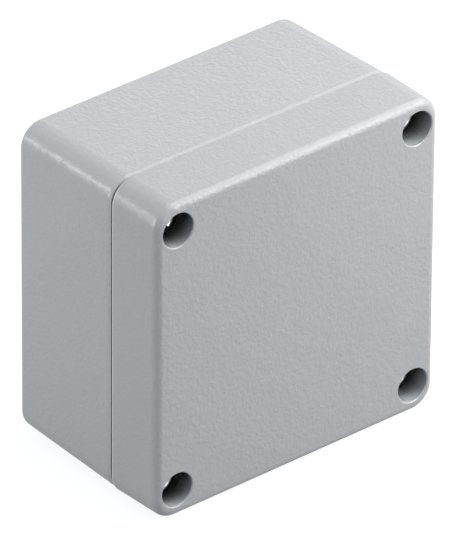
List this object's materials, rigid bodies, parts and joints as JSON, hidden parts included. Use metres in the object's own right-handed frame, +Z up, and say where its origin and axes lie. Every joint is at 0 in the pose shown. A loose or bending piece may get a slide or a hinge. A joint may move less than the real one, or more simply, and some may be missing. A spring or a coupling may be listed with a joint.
{
  "type": "die cast aluminium box",
  "caption": "Grey powder coated die cast case with a screwed cover, a seal in a groove and wall fixing holes in its back.",
  "frame": {"origin": "under the middle of the box, on the surface that it stands on", "axes": "+X along the cover's width, +Y from the cover's face to the back, +Z up"},
  "size_m": [0.1, 0.06, 0.1],
  "materials": {
    "case_paint": "silver grey powder coat with a fine orange peel texture",
    "seal_rubber": "black moulded rubber",
    "screw_steel": "turned stainless steel",
    "ring_nylon": "natural nylon",
    "earth_brass": "turned brass"
  },
  "bodies": {
    "case": {"base": "case_paint"},
    "cover": {"cover": "case_paint", "gasket": "seal_rubber"},
    "ring_1": {"retaining_ring_1": "ring_nylon"},
    "screw_1": {"cover_screw_1": "screw_steel"},
    "ring_2": {"retaining_ring_2": "ring_nylon"},
    "screw_2": {"cover_screw_2": "screw_steel"},
    "ring_3": {"retaining_ring_3": "ring_nylon"},
    "screw_3": {"cover_screw_3": "screw_steel"},
    "ring_4": {"retaining_ring_4": "ring_nylon"},
    "screw_4": {"cover_screw_4": "screw_steel"},
    "earth_washers": {"earth_washer": "earth_brass", "earth_spring_washer": "screw_steel"},
    "earth_screw": {"earth_screw": "earth_brass"}
  },
  "joints": [
    {"name": "cover_off", "type": "slide", "parent": "case", "child": "cover", "axis": [0, -1, 0], "range_m": [0, 0.065]},
    {"name": "ring_travel_1", "type": "slide", "parent": "cover", "child": "ring_1", "axis": [0, -1, 0], "range_m": [0, 0.01]},
    {"name": "screw_turn_1", "type": "hinge", "parent": "ring_1", "child": "screw_1", "pos_m": [0.0422, -0.0184, 0.0913], "axis": [0, -1, 0], "range_deg": [0, 3600]},
    {"name": "ring_travel_2", "type": "slide", "parent": "cover", "child": "ring_2", "axis": [0, -1, 0], "range_m": [0, 0.01]},
    {"name": "screw_turn_2", "type": "hinge", "parent": "ring_2", "child": "screw_2", "pos_m": [-0.0422, -0.0184, 0.0913], "axis": [0, -1, 0], "range_deg": [0, 3600]},
    {"name": "ring_travel_3", "type": "slide", "parent": "cover", "child": "ring_3", "axis": [0, -1, 0], "range_m": [0, 0.01]},
    {"name": "screw_turn_3", "type": "hinge", "parent": "ring_3", "child": "screw_3", "pos_m": [-0.0422, -0.0184, 0.0087], "axis": [0, -1, 0], "range_deg": [0, 3600]},
    {"name": "ring_travel_4", "type": "slide", "parent": "cover", "child": "ring_4", "axis": [0, -1, 0], "range_m": [0, 0.01]},
    {"name": "screw_turn_4", "type": "hinge", "parent": "ring_4", "child": "screw_4", "pos_m": [0.0422, -0.0184, 0.0087], "axis": [0, -1, 0], "range_deg": [0, 3600]},
    {"name": "earth_washer_travel", "type": "slide", "parent": "case", "child": "earth_washers", "axis": [0, -1, 0], "range_m": [0, 0.003]},
    {"name": "earth_screw_turn", "type": "hinge", "parent": "earth_washers", "child": "earth_screw", "pos_m": [0, 0.017, 0.016], "axis": [0, -1, 0], "range_deg": [0, 1350]}
  ],
  "couplings": [
    {"joint": "screw_turn_1", "follows": "ring_travel_1", "rad_per_m": 6283.2},
    {"joint": "screw_turn_2", "follows": "ring_travel_2", "rad_per_m": 6283.2},
    {"joint": "screw_turn_3", "follows": "ring_travel_3", "rad_per_m": 6283.2},
    {"joint": "screw_turn_4", "follows": "ring_travel_4", "rad_per_m": 6283.2},
    {"joint": "earth_screw_turn", "follows": "earth_washer_travel", "rad_per_m": 7854}
  ]
}
